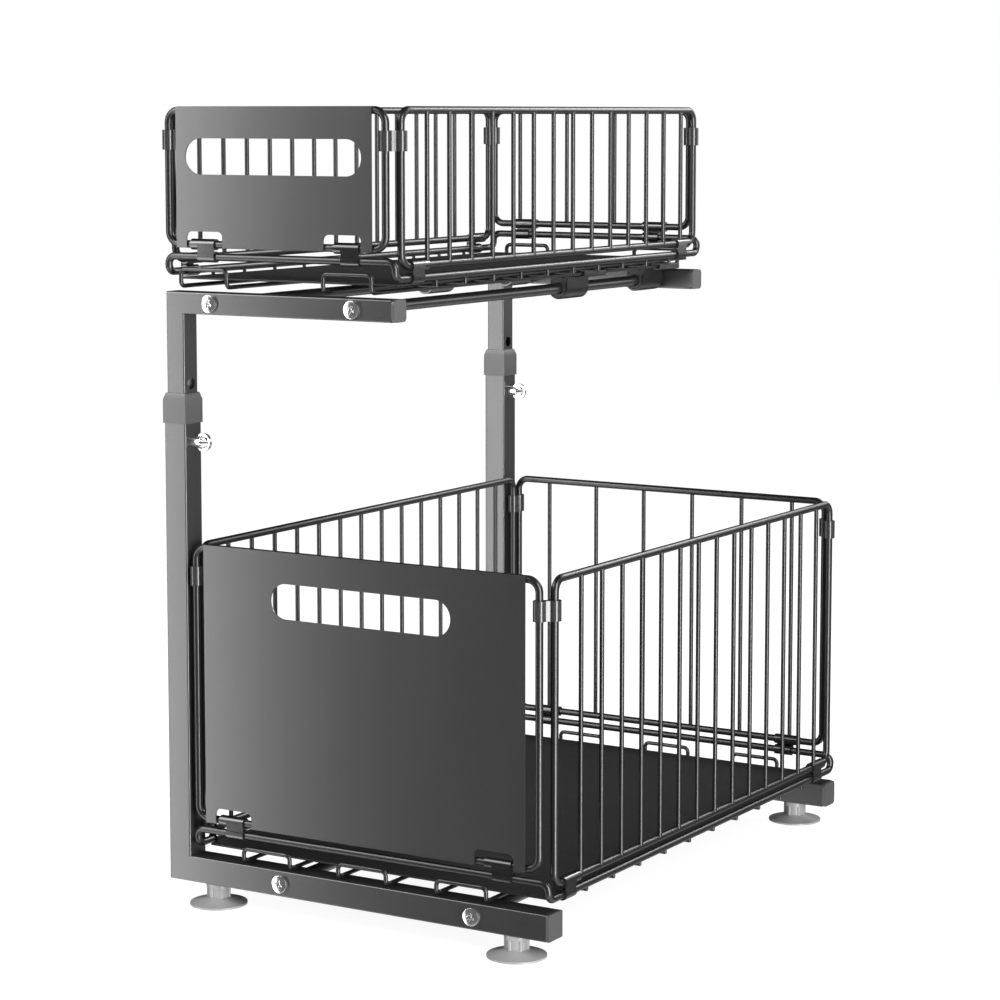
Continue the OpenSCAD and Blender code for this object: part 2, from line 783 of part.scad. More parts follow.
module runner_pads(rods, rod_z, floor_z) {
    for (i = [0, 1], y = hook_y)
        along_rod(rods[i], y, rod_z) pad_profile(floor_z - rod_z);
}

lower_rods = [lower_rod_x, lower_rod_x + lower_rod_span];
upper_rods = [upper_rod_x, upper_rod_x + upper_rod_span];
// Bench X of the two loops that straddle the rods.
lower_loop_pitch = (lower_rod_span - lower_right_loop + lower_left_loop) / (lower_loop_n - 1);
lower_loop_x = [lower_rods[0] - lower_left_loop, lower_rods[1] - lower_right_loop];
upper_loop_x = [upper_rods[0] - upper_left_loop, upper_rods[1] - upper_right_loop];

// ---- sub-parts ----

frame_grey = [0.27, 0.27, 0.28];
wire_grey = [0.16, 0.16, 0.17];
plastic_black = [0.12, 0.12, 0.12];
chrome_grey = [0.85, 0.85, 0.86];

module front_base_rail() { color(frame_grey) base_rail(); }
module front_base_post() { color(frame_grey) base_post(); }
module rear_base_rail() { color(frame_grey) translate([0, rear_y, 0]) base_rail(); }
module rear_base_post() { color(frame_grey) translate([0, rear_y, 0]) base_post(); }
module front_collar() { color(plastic_black) collar(); }
module rear_collar() { color(plastic_black) translate([0, rear_y, 0]) collar(); }

module front_base_plug() {
    color(plastic_black) translate([base_w - plug_t, 0, 0])
        tube_plug(base_tube, base_wall, base_front_plug_round);
}

module rear_base_plug() {
    color(plastic_black) translate([base_w - plug_t, rear_y, 0])
        tube_plug(base_tube, base_wall, plug_round);
}

module foot_front_left() { foot(foot_x, base_tube / 2); }
module foot_front_right() { foot(right_foot_x, base_tube / 2); }
module foot_rear_left() { foot(foot_x, frame_d - base_tube / 2); }
module foot_rear_right() { foot(right_foot_x, frame_d - base_tube / 2); }

module foot_studs() {
    color(chrome_grey)
        for (x = [foot_x, right_foot_x], y = [base_tube / 2, frame_d - base_tube / 2])
            foot_stud(x, y);
}

module lower_left_rod() { lower_rod(lower_rods[0]); }
module lower_right_rod() { lower_rod(lower_rods[1]); }

module lower_rod_screws() {
    color(chrome_grey) rod_screws(lower_rod_x, lower_rod_span, lower_rod_z, 0, base_tube);
}

module height_nuts() {
    color(plastic_black) {
        height_nut(0);
        height_nut(rear_y);
    }
}

module front_upper_rail() { color(frame_grey) at_upper_frame(0) upper_rail(); }
module front_upper_post() { color(frame_grey) at_upper_frame(0) upper_post(); }
module rear_upper_rail() { color(frame_grey) at_upper_frame(rear_y) upper_rail(); }
module rear_upper_post() { color(frame_grey) at_upper_frame(rear_y) upper_post(); }

module upper_plug(y) {
    color(plastic_black) at_upper_frame(y) translate([upper_w - plug_t, 0, 0])
        tube_plug(upper_tube, upper_wall, plug_round);
}

module front_upper_plug() { upper_plug(0); }
module rear_upper_plug() { upper_plug(rear_y); }
module upper_left_rod() { upper_rod(upper_rods[0]); }
module upper_right_rod() { upper_rod(upper_rods[1]); }

module upper_rod_screws() {
    color(chrome_grey) rod_screws(upper_rod_x, upper_rod_span, upper_rod_z, inset, upper_tube);
}

module front_wing_bolt() { wing_bolt(0); }
module rear_wing_bolt() { wing_bolt(rear_y); }

module lower_tray_rim() { color(wire_grey) at_lower() tray_rim(lower_tray_w, lower_tray_d); }

module lower_floor_wires() {
    color(wire_grey) at_lower()
        for (k = [0 : lower_loop_n - 1])
            floor_loop(lower_loop_x[0] + k * lower_loop_pitch - lower_tray_x, lower_tray_d,
                -cross_lift - lower_bar_rise, lower_loop_rise);
}

module lower_cross_wires() {
    color(wire_grey) at_lower() cross_wires(lower_tray_w, -lower_bar_rise);
}

module lower_liner() {
    color(plastic_black) at_lower() liner(lower_tray_w, lower_tray_d, -lower_bar_rise);
}

module lower_front_frame() { color(wire_grey) at_lower() end_frame(lower_tray_w, lower_side_h); }
module lower_front_panel() { color(frame_grey) at_lower() front_sheet(lower_tray_w, lower_side_h); }

module lower_left_side() {
    color(wire_grey) at_lower() side_panel(0, lower_tray_d, lower_side_h, lower_bar_first, -1);
}

module lower_right_side() {
    color(wire_grey) at_lower()
        side_panel(lower_tray_w, lower_tray_d, lower_side_h, lower_bar_first, 1);
}

module lower_back() {
    color(wire_grey) at_lower() back_panel(lower_tray_w, lower_tray_d, lower_side_h);
}

module lower_corner_clips() {
    color(plastic_black) at_lower() corner_clips(lower_tray_w, lower_tray_d, lower_side_h);
}

module lower_hinge_clips() {
    color(wire_grey) at_lower() hinge_clips(lower_tray_w, lower_tray_d, lower_bar_first);
}

module lower_runner_hooks() {
    color(frame_grey) runner_hooks(lower_loop_x, lower_rods, lower_rod_z, lower_floor_z, 0);
}

module lower_runner_pads() {
    color(plastic_black) runner_pads(lower_rods, lower_rod_z, lower_floor_z);
}

module upper_tray_rim() { color(wire_grey) at_upper() tray_rim(upper_tray_w, upper_tray_d); }

module upper_floor_wires() {
    color(wire_grey) at_upper()
        for (x = upper_loop_x)
            floor_loop(x - upper_tray_x, upper_tray_d, -cross_lift - upper_bar_rise,
                upper_loop_rise);
}

module upper_cross_wires() {
    color(wire_grey) at_upper() cross_wires(upper_tray_w, -upper_bar_rise);
}

module upper_liner() {
    color(plastic_black) at_upper() liner(upper_tray_w, upper_tray_d, -upper_bar_rise);
}

module upper_front_frame() { color(wire_grey) at_upper() end_frame(upper_tray_w, upper_side_h); }
module upper_front_panel() { color(frame_grey) at_upper() front_sheet(upper_tray_w, upper_side_h); }

module upper_left_side() {
    color(wire_grey) at_upper() side_panel(0, upper_tray_d, upper_side_h, upper_bar_first, -1);
}

module upper_right_side() {
    color(wire_grey) at_upper()
        side_panel(upper_tray_w, upper_tray_d, upper_side_h, upper_bar_first, 1);
}

module upper_back() {
    color(wire_grey) at_upper() back_panel(upper_tray_w, upper_tray_d, upper_side_h);
}

module upper_corner_clips() {
    color(plastic_black) at_upper() corner_clips(upper_tray_w, upper_tray_d, upper_side_h);
}

module upper_hinge_clips() {
    color(wire_grey) at_upper() hinge_clips(upper_tray_w, upper_tray_d, upper_bar_first);
}

module upper_runner_hooks() {
    color(frame_grey)
        runner_hooks(upper_loop_x, upper_rods, upper_rod_z, upper_floor_z, plate_shift);
}

module upper_runner_pads() {
    color(plastic_black) runner_pads(upper_rods, upper_rod_z, upper_floor_z);
}

place() {
    front_base_rail();
    front_base_post();
    rear_base_rail();
    rear_base_post();
    front_collar();
    rear_collar();
    front_base_plug();
    rear_base_plug();
    foot_front_left();
    foot_front_right();
    foot_rear_left();
    foot_rear_right();
    foot_studs();
    lower_left_rod();
    lower_right_rod();
    lower_rod_screws();
    height_nuts();
    front_upper_rail();
    front_upper_post();
    rear_upper_rail();
    rear_upper_post();
    front_upper_plug();
    rear_upper_plug();
    upper_left_rod();
    upper_right_rod();
    upper_rod_screws();
    front_wing_bolt();
    rear_wing_bolt();
    lower_tray_rim();
    lower_floor_wires();
    lower_cross_wires();
    lower_liner();
    lower_front_frame();
    lower_front_panel();
    lower_left_side();
    lower_right_side();
    lower_back();
    lower_corner_clips();
    lower_hinge_clips();
    lower_runner_hooks();
    lower_runner_pads();
    upper_tray_rim();
    upper_floor_wires();
    upper_cross_wires();
    upper_liner();
    upper_front_frame();
    upper_front_panel();
    upper_left_side();
    upper_right_side();
    upper_back();
    upper_corner_clips();
    upper_hinge_clips();
    upper_runner_hooks();
    upper_runner_pads();
}
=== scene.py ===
import json
import math

import bmesh
import bpy
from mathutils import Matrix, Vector


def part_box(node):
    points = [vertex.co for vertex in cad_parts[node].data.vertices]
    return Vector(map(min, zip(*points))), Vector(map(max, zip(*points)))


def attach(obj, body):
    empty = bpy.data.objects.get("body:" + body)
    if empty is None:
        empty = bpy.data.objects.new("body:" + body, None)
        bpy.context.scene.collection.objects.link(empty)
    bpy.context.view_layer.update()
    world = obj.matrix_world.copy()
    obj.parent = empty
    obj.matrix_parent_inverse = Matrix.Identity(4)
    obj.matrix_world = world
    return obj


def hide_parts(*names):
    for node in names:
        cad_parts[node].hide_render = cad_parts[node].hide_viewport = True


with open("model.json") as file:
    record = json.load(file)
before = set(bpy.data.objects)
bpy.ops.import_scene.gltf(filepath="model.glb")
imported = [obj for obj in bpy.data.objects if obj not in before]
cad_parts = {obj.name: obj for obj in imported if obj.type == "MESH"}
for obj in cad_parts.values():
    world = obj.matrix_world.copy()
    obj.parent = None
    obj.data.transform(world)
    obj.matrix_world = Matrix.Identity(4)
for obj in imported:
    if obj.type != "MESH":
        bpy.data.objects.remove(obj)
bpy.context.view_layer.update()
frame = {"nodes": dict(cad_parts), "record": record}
rightAngle = math.pi / 2

# Camera, room and lights. Places are in metres in the part's own frame.

cameraSpec = {
    "place": (1.0522, -1.7677, 0.5471),
    "tilt": 83.865,  # degrees up from looking straight down
    "turn": 31.178,
    "lens": 102.41,
    "sensor": 36,
    "shiftY": -0.08,
}

# Radiance is the brightness of a lamp's face, whatever its size.
lampSpecs = {
    "frontLeftStrip": {"place": (-0.6425, -0.70, 0.30), "aim": (-0.6425, 0.0, 0.30),
                       "size": (0.283, 2.40), "radiance": 5.9},
    "rightStrip": {"place": (1.45, -0.80, 0.50), "aim": (0.1, -0.1, 0.50),
                   "size": (0.45, 2.40), "radiance": 17.0},
    "rearRightWall": {"place": (0.42, 0.88, 0.90), "aim": (-0.1, -0.2, 0.40),
                      "size": (1.05, 1.10), "radiance": 1.45},
    "frontHighBox": {"place": (-0.95, -1.05, 1.25), "aim": (0.0, -0.2, 0.3),
                     "size": (1.30, 0.70), "radiance": 4.2},
    "rearHighBox": {"place": (0.61, 1.41, 1.15), "aim": (0.1, 0.0, 0.35),
                    "size": (0.60, 0.30), "radiance": 15.0},
}

roomSpec = {
    "ambient": 0.45,  # light from all round on matt surfaces
    "frontWall": 0.05,  # what a reflection sees towards the front
    "rightWall": 0.2,  # what it sees towards the right
    "backWall": 0.02,
    "ceilingShare": 0.15,  # how much of the walls' brightness the ceiling keeps
    "groundGlow": 1.0,  # the white ground, as a reflection sees it
    "groundLean": 0.25,  # how much higher the ground's edge lies on the right
    "frontFade": (-0.5, 0.3),  # Y of the looked-at direction, from the front wall to the back wall
    "rightFade": (-0.1, 0.5),  # X, up to the right wall
    "ceilingFade": (0.15, 0.6),  # Z, from the walls to the ceiling
    "groundFade": (-0.65, -0.38),  # Z, from the ground to the walls
}

floorSpec = {
    "size": 14.0,
    "drop": 0.0002,  # below the feet, so that the two faces don't share a plane
    "colour": (0.9, 0.9, 0.9, 1.0),
    "shadowShare": 0.2,  # how much of the floor's own shading the camera sees
    "glow": 1.16,  # over 1, so that open floor is white with its shading mixed in
}


def makeCamera(spec):
    data = bpy.data.cameras.new("mainCamera")
    data.lens = spec["lens"]
    data.sensor_width = spec["sensor"]
    data.sensor_fit = "HORIZONTAL"
    data.shift_y = spec["shiftY"]
    camera = bpy.data.objects.new("mainCamera", data)
    bpy.context.scene.collection.objects.link(camera)
    camera.location = spec["place"]
    camera.rotation_euler = (math.radians(spec["tilt"]), 0, math.radians(spec["turn"]))
    bpy.context.scene.camera = camera


def makeLamp(name, spec):
    width, height = spec["size"]
    data = bpy.data.lights.new(name, "AREA")
    data.shape = "RECTANGLE"
    data.size, data.size_y = width, height
    data.energy = spec["radiance"] * math.pi * width * height
    lamp = bpy.data.objects.new(name, data)
    bpy.context.scene.collection.objects.link(lamp)
    lamp.location = spec["place"]
    lamp.rotation_mode = "QUATERNION"
    direction = Vector(spec["aim"]) - Vector(spec["place"])
    lamp.rotation_quaternion = direction.to_track_quat("-Z", "Y")
    lamp.visible_camera = False


def rampNode(nodes, links, source, fromRange, toRange):
    ramp = nodes.new("ShaderNodeMapRange")
    ramp.interpolation_type = "SMOOTHSTEP"
    ramp.inputs["From Min"].default_value, ramp.inputs["From Max"].default_value = fromRange
    ramp.inputs["To Min"].default_value, ramp.inputs["To Max"].default_value = toRange
    links.new(source, ramp.inputs["Value"])
    return ramp.outputs["Result"]


def mathNode(nodes, links, operation, first, second):
    node = nodes.new("ShaderNodeMath")
    node.operation = operation
    for socket, value in zip(node.inputs, (first, second)):
        if isinstance(value, (int, float)):
            socket.default_value = value
        else:
            links.new(value, socket)
    return node.outputs[0]


# White for the camera and through clear things. A reflection sees a white ground, a grey right
# wall, and a dark front wall, back wall and ceiling.
def makeWorld(spec):
    world = bpy.data.worlds.new("studio")
    bpy.context.scene.world = world
    world.use_nodes = True
    nodes, links = world.node_tree.nodes, world.node_tree.links
    nodes.clear()
    path = nodes.new("ShaderNodeLightPath")
    coord = nodes.new("ShaderNodeTexCoord")
    split = nodes.new("ShaderNodeSeparateXYZ")
    links.new(coord.outputs["Generated"], split.inputs[0])
    x, y, z = (split.outputs[axis] for axis in "XYZ")
    front = rampNode(nodes, links, y, spec["frontFade"], (spec["frontWall"], spec["backWall"]))
    right = rampNode(nodes, links, x, spec["rightFade"], (0.0, spec["rightWall"]))
    walls = mathNode(nodes, links, "MAXIMUM", front, right)
    height = rampNode(nodes, links, z, spec["ceilingFade"], (1.0, spec["ceilingShare"]))
    room = mathNode(nodes, links, "MULTIPLY", walls, height)
    lean = mathNode(nodes, links, "MULTIPLY", x, spec["groundLean"])
    depth = mathNode(nodes, links, "SUBTRACT", z, lean)
    ground = rampNode(nodes, links, depth, spec["groundFade"], (spec["groundGlow"], 0.0))
    gloss = mathNode(nodes, links, "MAXIMUM", room, ground)
    mirrored = nodes.new("ShaderNodeMix")
    mirrored.inputs["A"].default_value = spec["ambient"]
    links.new(path.outputs["Is Glossy Ray"], mirrored.inputs["Factor"])
    links.new(gloss, mirrored.inputs["B"])
    seen = mathNode(nodes, links, "MAXIMUM", path.outputs["Is Camera Ray"],
                    path.outputs["Is Transmission Ray"])
    strength = nodes.new("ShaderNodeMix")
    strength.inputs["B"].default_value = 1.0
    links.new(seen, strength.inputs["Factor"])
    links.new(mirrored.outputs["Result"], strength.inputs["A"])
    back = nodes.new("ShaderNodeBackground")
    back.inputs["Color"].default_value = (1, 1, 1, 1)
    links.new(strength.outputs["Result"], back.inputs["Strength"])
    out = nodes.new("ShaderNodeOutputWorld")
    links.new(back.outputs[0], out.inputs["Surface"])


def makeFloor(spec):
    bpy.ops.object.select_all(action="DESELECT")
    bpy.ops.mesh.primitive_plane_add(size=spec["size"], location=(0, 0, -spec["drop"]))
    floor = bpy.context.active_object
    floor.name = "studioFloor"
    material = bpy.data.materials.new("floorWhite")
    material.use_nodes = True
    nodes, links = material.node_tree.nodes, material.node_tree.links
    nodes.clear()
    path = nodes.new("ShaderNodeLightPath")
    diffuse = nodes.new("ShaderNodeBsdfDiffuse")
    diffuse.inputs["Color"].default_value = spec["colour"]
    glow = nodes.new("ShaderNodeEmission")
    glow.inputs["Strength"].default_value = spec["glow"]
    share = mathNode(nodes, links, "MULTIPLY", path.outputs["Is Camera Ray"],
                     1 - spec["shadowShare"])
    mix = nodes.new("ShaderNodeMixShader")
    links.new(share, mix.inputs["Fac"])
    links.new(diffuse.outputs[0], mix.inputs[1])
    links.new(glow.outputs[0], mix.inputs[2])
    out = nodes.new("ShaderNodeOutputMaterial")
    links.new(mix.outputs[0], out.inputs["Surface"])
    floor.data.materials.append(material)
    floor.visible_glossy = False  # reflections see the white ground of the world instead
    floor.visible_shadow = False  # the tall softboxes reach below it


makeCamera(cameraSpec)
for lampName, lampSpec in lampSpecs.items():
    makeLamp(lampName, lampSpec)
makeWorld(roomSpec)
makeFloor(floorSpec)
bpy.context.scene.view_settings.view_transform = "Standard"
print("camera, lamps, room and floor made")

# Shared surface effects.


def newGroup(name, inputs, outputs):
    group = bpy.data.node_groups.new(name, "ShaderNodeTree")
    for label, kind, value in inputs:
        socket = group.interface.new_socket(label, in_out="INPUT", socket_type=kind)
        socket.default_value = value
    for label, kind in outputs:
        group.interface.new_socket(label, in_out="OUTPUT", socket_type=kind)
    return group, group.nodes.new("NodeGroupInput"), group.nodes.new("NodeGroupOutput")


coatInputs = (
    ("Colour", "NodeSocketColor", (0.1, 0.1, 0.1, 1)),
    ("Fleck Colour", "NodeSocketColor", (0.2, 0.2, 0.2, 1)),
    ("Fleck Amount", "NodeSocketFloat", 0.2),
    ("Fleck Scale", "NodeSocketFloat", 5000.0),
    ("Roughness", "NodeSocketFloat", 0.4),
    ("Roughness Spread", "NodeSocketFloat", 0.05),
    ("Peel Height", "NodeSocketFloat", 0.00001),
    ("Peel Scale", "NodeSocketFloat", 900.0),
    ("Along", "NodeSocketVector", (1.0, 1.0, 1.0)),
)
coatOutputs = (
    ("Colour", "NodeSocketColor"),
    ("Roughness", "NodeSocketFloat"),
    ("Normal", "NodeSocketVector"),
)
coatSpec = {
    "fleckFade": (0.5, 1.0),  # of the cells' random values, those that count as flecks
    "cloudScale": 40,
    "cloudDetail": 5,
    "peelDetail": 2,
}


# A sprayed, moulded or plated skin: fine flecks in the colour, clouds in the gloss and a faint
# peel. Along stretches the clouds and the peel where a surface is drawn, rolled or rubbed.
def makeCoatGroup(spec):
    group, given, result = newGroup("skinCoat", coatInputs, coatOutputs)
    nodes, links = group.nodes, group.links
    coord = nodes.new("ShaderNodeTexCoord")
    flecks = nodes.new("ShaderNodeTexVoronoi")
    links.new(coord.outputs["Object"], flecks.inputs["Vector"])
    links.new(given.outputs["Fleck Scale"], flecks.inputs["Scale"])
    cells = nodes.new("ShaderNodeSeparateColor")
    links.new(flecks.outputs["Color"], cells.inputs[0])
    bright = rampNode(nodes, links, cells.outputs[0], spec["fleckFade"], (0.0, 1.0))
    amount = mathNode(nodes, links, "MULTIPLY", bright, given.outputs["Fleck Amount"])
    tint = nodes.new("ShaderNodeMix")
    tint.data_type = "RGBA"
    links.new(amount, tint.inputs["Factor"])
    links.new(given.outputs["Colour"], tint.inputs["A"])
    links.new(given.outputs["Fleck Colour"], tint.inputs["B"])
    links.new(tint.outputs["Result"], result.inputs["Colour"])
    stretch = nodes.new("ShaderNodeVectorMath")
    stretch.operation = "MULTIPLY"
    links.new(coord.outputs["Object"], stretch.inputs[0])
    links.new(given.outputs["Along"], stretch.inputs[1])
    cloud = nodes.new("ShaderNodeTexNoise")
    cloud.inputs["Scale"].default_value = spec["cloudScale"]
    cloud.inputs["Detail"].default_value = spec["cloudDetail"]
    links.new(stretch.outputs[0], cloud.inputs["Vector"])
    centred = mathNode(nodes, links, "SUBTRACT", cloud.outputs["Fac"], 0.5)
    spread = mathNode(nodes, links, "MULTIPLY", centred, given.outputs["Roughness Spread"])
    rough = mathNode(nodes, links, "ADD", spread, given.outputs["Roughness"])
    links.new(rough, result.inputs["Roughness"])
    peel = nodes.new("ShaderNodeTexNoise")
    peel.inputs["Detail"].default_value = spec["peelDetail"]
    links.new(stretch.outputs[0], peel.inputs["Vector"])
    links.new(given.outputs["Peel Scale"], peel.inputs["Scale"])
    bump = nodes.new("ShaderNodeBump")
    links.new(given.outputs["Peel Height"], bump.inputs["Distance"])
    links.new(peel.outputs["Fac"], bump.inputs["Height"])
    links.new(bump.outputs[0], result.inputs["Normal"])
    return group


coatGroup = makeCoatGroup(coatSpec)

# Two lines for each finish. Colour and fleck are greys, amount is how strongly the flecks show,
# fleckSize and peelSize are in millimetres, and peel is the height of the peel in metres.
evenly = (1.0, 1.0, 1.0)
finishSpecs = {
    "framePaint": {"colour": 0.112, "fleck": 0.2, "amount": 0.25, "fleckSize": 0.2, "rough": 0.32,
                   "spread": 0.05, "peel": 3e-6, "peelSize": 1.2, "metal": 0.9, "along": evenly},
    "sheetPaint": {"colour": 0.112, "fleck": 0.2, "amount": 0.25, "fleckSize": 0.2, "rough": 0.32,
                   "spread": 0.05, "peel": 3e-6, "peelSize": 1.2, "metal": 0.9, "along": (1, 1, 0.25)},
    "wirePaint": {"colour": 0.06, "fleck": 0.08, "amount": 0.15, "fleckSize": 0.2, "rough": 0.32,
                  "spread": 0.04, "peel": 2e-7, "peelSize": 2.0, "metal": 0.9, "along": evenly},
    "rodPaint": {"colour": 0.1, "fleck": 0.18, "amount": 0.2, "fleckSize": 0.2, "rough": 0.27,
                 "spread": 0.12, "peel": 2e-6, "peelSize": 0.8, "metal": 0.9, "along": (1, 0.06, 1)},
    "bracketPaint": {"colour": 0.075, "fleck": 0.11, "amount": 0.2, "fleckSize": 0.2, "rough": 0.2,
                     "spread": 0.06, "peel": 3e-6, "peelSize": 0.9, "metal": 0.9, "along": evenly},
    "capPlastic": {"colour": 0.1, "fleck": 0.13, "amount": 0.3, "fleckSize": 0.5, "rough": 0.4,
                   "spread": 0.06, "peel": 8e-6, "peelSize": 0.5, "metal": 0.55, "along": evenly},
    "clipPlastic": {"colour": 0.06, "fleck": 0.1, "amount": 0.2, "fleckSize": 0.4, "rough": 0.2,
                    "spread": 0.05, "peel": 3e-6, "peelSize": 0.9, "metal": 0.6, "along": evenly},
    # The liner is a dark plastic sheet, and its grey is made darker still as painted shade, for the
    # deep shade that lies in the baskets' floors.
    "linerPlasticAndShade": {"colour": 0.014, "fleck": 0.024, "amount": 0.4, "fleckSize": 0.7, "rough": 0.5,
                     "spread": 0.1, "peel": 3e-5, "peelSize": 0.8, "metal": 0.0, "along": evenly},
    "padNylon": {"colour": 0.03, "fleck": 0.045, "amount": 0.3, "fleckSize": 0.5, "rough": 0.45,
                 "spread": 0.08, "peel": 1e-5, "peelSize": 0.6, "metal": 0.0, "along": evenly},
    "footRubber": {"colour": 0.25, "fleck": 0.3, "amount": 0.25, "fleckSize": 0.9, "rough": 0.35,
                   "spread": 0.08, "peel": 5e-6, "peelSize": 1.6, "metal": 0.0, "along": evenly},
    "brightPlate": {"colour": 0.82, "fleck": 0.9, "amount": 0.3, "fleckSize": 0.3, "rough": 0.15,
                    "spread": 0.08, "peel": 2.5e-5, "peelSize": 1.3, "metal": 0.95, "along": evenly},
    "zincPlate": {"colour": 0.55, "fleck": 0.66, "amount": 0.4, "fleckSize": 0.4, "rough": 0.3,
                  "spread": 0.1, "peel": 4e-6, "peelSize": 1.0, "metal": 1.0, "along": evenly},
    "darkZinc": {"colour": 0.05, "fleck": 0.09, "amount": 0.4, "fleckSize": 0.4, "rough": 0.3,
                 "spread": 0.1, "peel": 4e-6, "peelSize": 1.0, "metal": 1.0, "along": evenly},
}
slotFinish = {
    "frame_paint": "framePaint", "panel_paint": "sheetPaint", "wire_paint": "wirePaint",
    "rod_paint": "rodPaint", "bracket_paint": "bracketPaint", "frame_plastic": "capPlastic",
    "clip_plastic": "clipPlastic", "liner_plastic": "linerPlasticAndShade", "nylon": "padNylon",
    "foot_rubber": "footRubber", "chrome": "brightPlate", "zinc": "zincPlate",
    "black_zinc": "darkZinc",
}


def perMetre(millimetres):
    return 1000 / millimetres


def grey(level):
    return (level, level, level, 1)


def makeFinish(name, spec):
    material = bpy.data.materials.new(name)
    material.use_nodes = True
    nodes, links = material.node_tree.nodes, material.node_tree.links
    shader = nodes["Principled BSDF"]
    coat = nodes.new("ShaderNodeGroup")
    coat.node_tree = coatGroup
    coat.inputs["Colour"].default_value = grey(spec["colour"])
    coat.inputs["Fleck Colour"].default_value = grey(spec["fleck"])
    coat.inputs["Fleck Amount"].default_value = spec["amount"]
    coat.inputs["Fleck Scale"].default_value = perMetre(spec["fleckSize"])
    coat.inputs["Roughness"].default_value = spec["rough"]
    coat.inputs["Roughness Spread"].default_value = spec["spread"]
    coat.inputs["Peel Height"].default_value = spec["peel"]
    coat.inputs["Peel Scale"].default_value = perMetre(spec["peelSize"])
    coat.inputs["Along"].default_value = spec["along"]
    links.new(coat.outputs["Colour"], shader.inputs["Base Color"])
    links.new(coat.outputs["Roughness"], shader.inputs["Roughness"])
    links.new(coat.outputs["Normal"], shader.inputs["Normal"])
    shader.inputs["Metallic"].default_value = spec["metal"]
    return material


finishes = {name: makeFinish(name, spec) for name, spec in finishSpecs.items()}
nodeSlot = {part["node"]: part["material_slot"] for part in frame["record"]["subparts"]}
for nodeName, slotName in nodeSlot.items():
    for materialSlot in frame["nodes"][nodeName].material_slots:
        materialSlot.material = finishes[slotFinish[slotName]]
print("finishes made and given to the frame's nodes")

# Bench tools: what a hand would do in the viewport.

squareOn = 0.9  # how closely a face or an edge follows an axis, where 1 is exactly


def only(piece):
    bpy.ops.object.select_all(action="DESELECT")
    piece.select_set(True)
    bpy.context.view_layer.objects.active = piece


def addShape(kind, name, **settings):
    bpy.ops.object.select_all(action="DESELECT")
    getattr(bpy.ops.mesh, "primitive_" + kind + "_add")(**settings)
    piece = bpy.context.active_object
    piece.name = name
    return piece


def settle(piece):
    only(piece)
    bpy.ops.object.transform_apply(location=True, rotation=True, scale=True)


def applyModifier(piece, kind, **settings):
    only(piece)
    modifier = piece.modifiers.new(kind, kind)
    for key, value in settings.items():
        setattr(modifier, key, value)
    bpy.ops.object.modifier_apply(modifier=modifier.name)


def combine(piece, other, operation):
    applyModifier(piece, "BOOLEAN", operation=operation, object=other, solver="EXACT")
    bpy.data.objects.remove(other)


def softenEdges(piece, width, segments=2, angle=30):
    applyModifier(piece, "BEVEL", width=width, segments=segments, limit_method="ANGLE",
                  angle_limit=math.radians(angle))
    only(piece)
    bpy.ops.object.shade_smooth_by_angle(angle=math.radians(angle))
    applyModifier(piece, "WEIGHTED_NORMAL", keep_sharp=True)


def editStart(piece, kind="FACE"):
    only(piece)
    bpy.ops.object.mode_set(mode="EDIT")
    bpy.ops.mesh.select_mode(type=kind)
    bpy.ops.mesh.select_all(action="DESELECT")


def editEnd():
    bpy.ops.object.mode_set(mode="OBJECT")


def pickFaces(piece, test):
    shape = bmesh.from_edit_mesh(piece.data)
    for face in shape.faces:
        face.select_set(False)
    for face in shape.faces:
        if test(face.calc_center_median(), face.normal):
            face.select_set(True)
    bmesh.update_edit_mesh(piece.data)


def pickEdges(piece, test):
    shape = bmesh.from_edit_mesh(piece.data)
    for edge in shape.edges:
        edge.select_set(False)
    for edge in shape.edges:
        start, end = (vertex.co for vertex in edge.verts)
        if test((start + end) / 2, (end - start).normalized()):
            edge.select_set(True)
    bmesh.update_edit_mesh(piece.data)


def facesUp(at, normal):
    return normal.z > squareOn


def facesDown(at, normal):
    return normal.z < -squareOn


def extrudeUp(height):
    bpy.ops.mesh.extrude_region_move(TRANSFORM_OT_translate={"value": (0, 0, height)})


def copyPiece(source, name, place, turn=(0, 0, 0)):
    twin = source.copy()
    twin.data = source.data.copy()
    bpy.context.scene.collection.objects.link(twin)
    twin.name = name
    twin.data.name = name
    twin.location = place
    twin.rotation_euler = turn
    settle(twin)
    return twin


def joinPieces(pieces, name):
    bpy.ops.object.select_all(action="DESELECT")
    for piece in pieces:
        piece.select_set(True)
    bpy.context.view_layer.objects.active = pieces[0]
    bpy.ops.object.join()
    pieces[0].name = name
    return pieces[0]


def middle(nodeName):
    low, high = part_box(nodeName)
    return (low + high) / 2


def finishPiece(piece, body, nodeName):
    piece.data.materials.clear()
    piece.data.materials.append(finishes[slotFinish[nodeSlot[nodeName]]])
    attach(piece, body)
    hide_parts(nodeName)


# Suction feet: a soft disc, a sloping skirt and a hub with ribs under a plain band.

footSpec = {
    "steps": 64,
    "discEdge": 0.0013,
    "slope": (0.0056, 0.0013),  # how far in and how far up
    "skirt": (0.0069, 0.0024),
    "shaft": 0.0070,
    "capRadius": 0.0085,
    "cap": 0.003,
    "capDish": 0.0012,
    "seat": 0.0030,
    "hollow": (0.0115, 0.0020),  # under the disc, how far in and how deep
    "ribs": 6,
    "ribRadius": 0.0014,
    "ribSteps": 16,
    "ribOut": 0.0071,  # from the hub's middle
    "ribSink": 0.0002,  # how far its foot goes into the skirt
    "ribTurn": 21,  # degrees
    "edge": 0.00035,
}


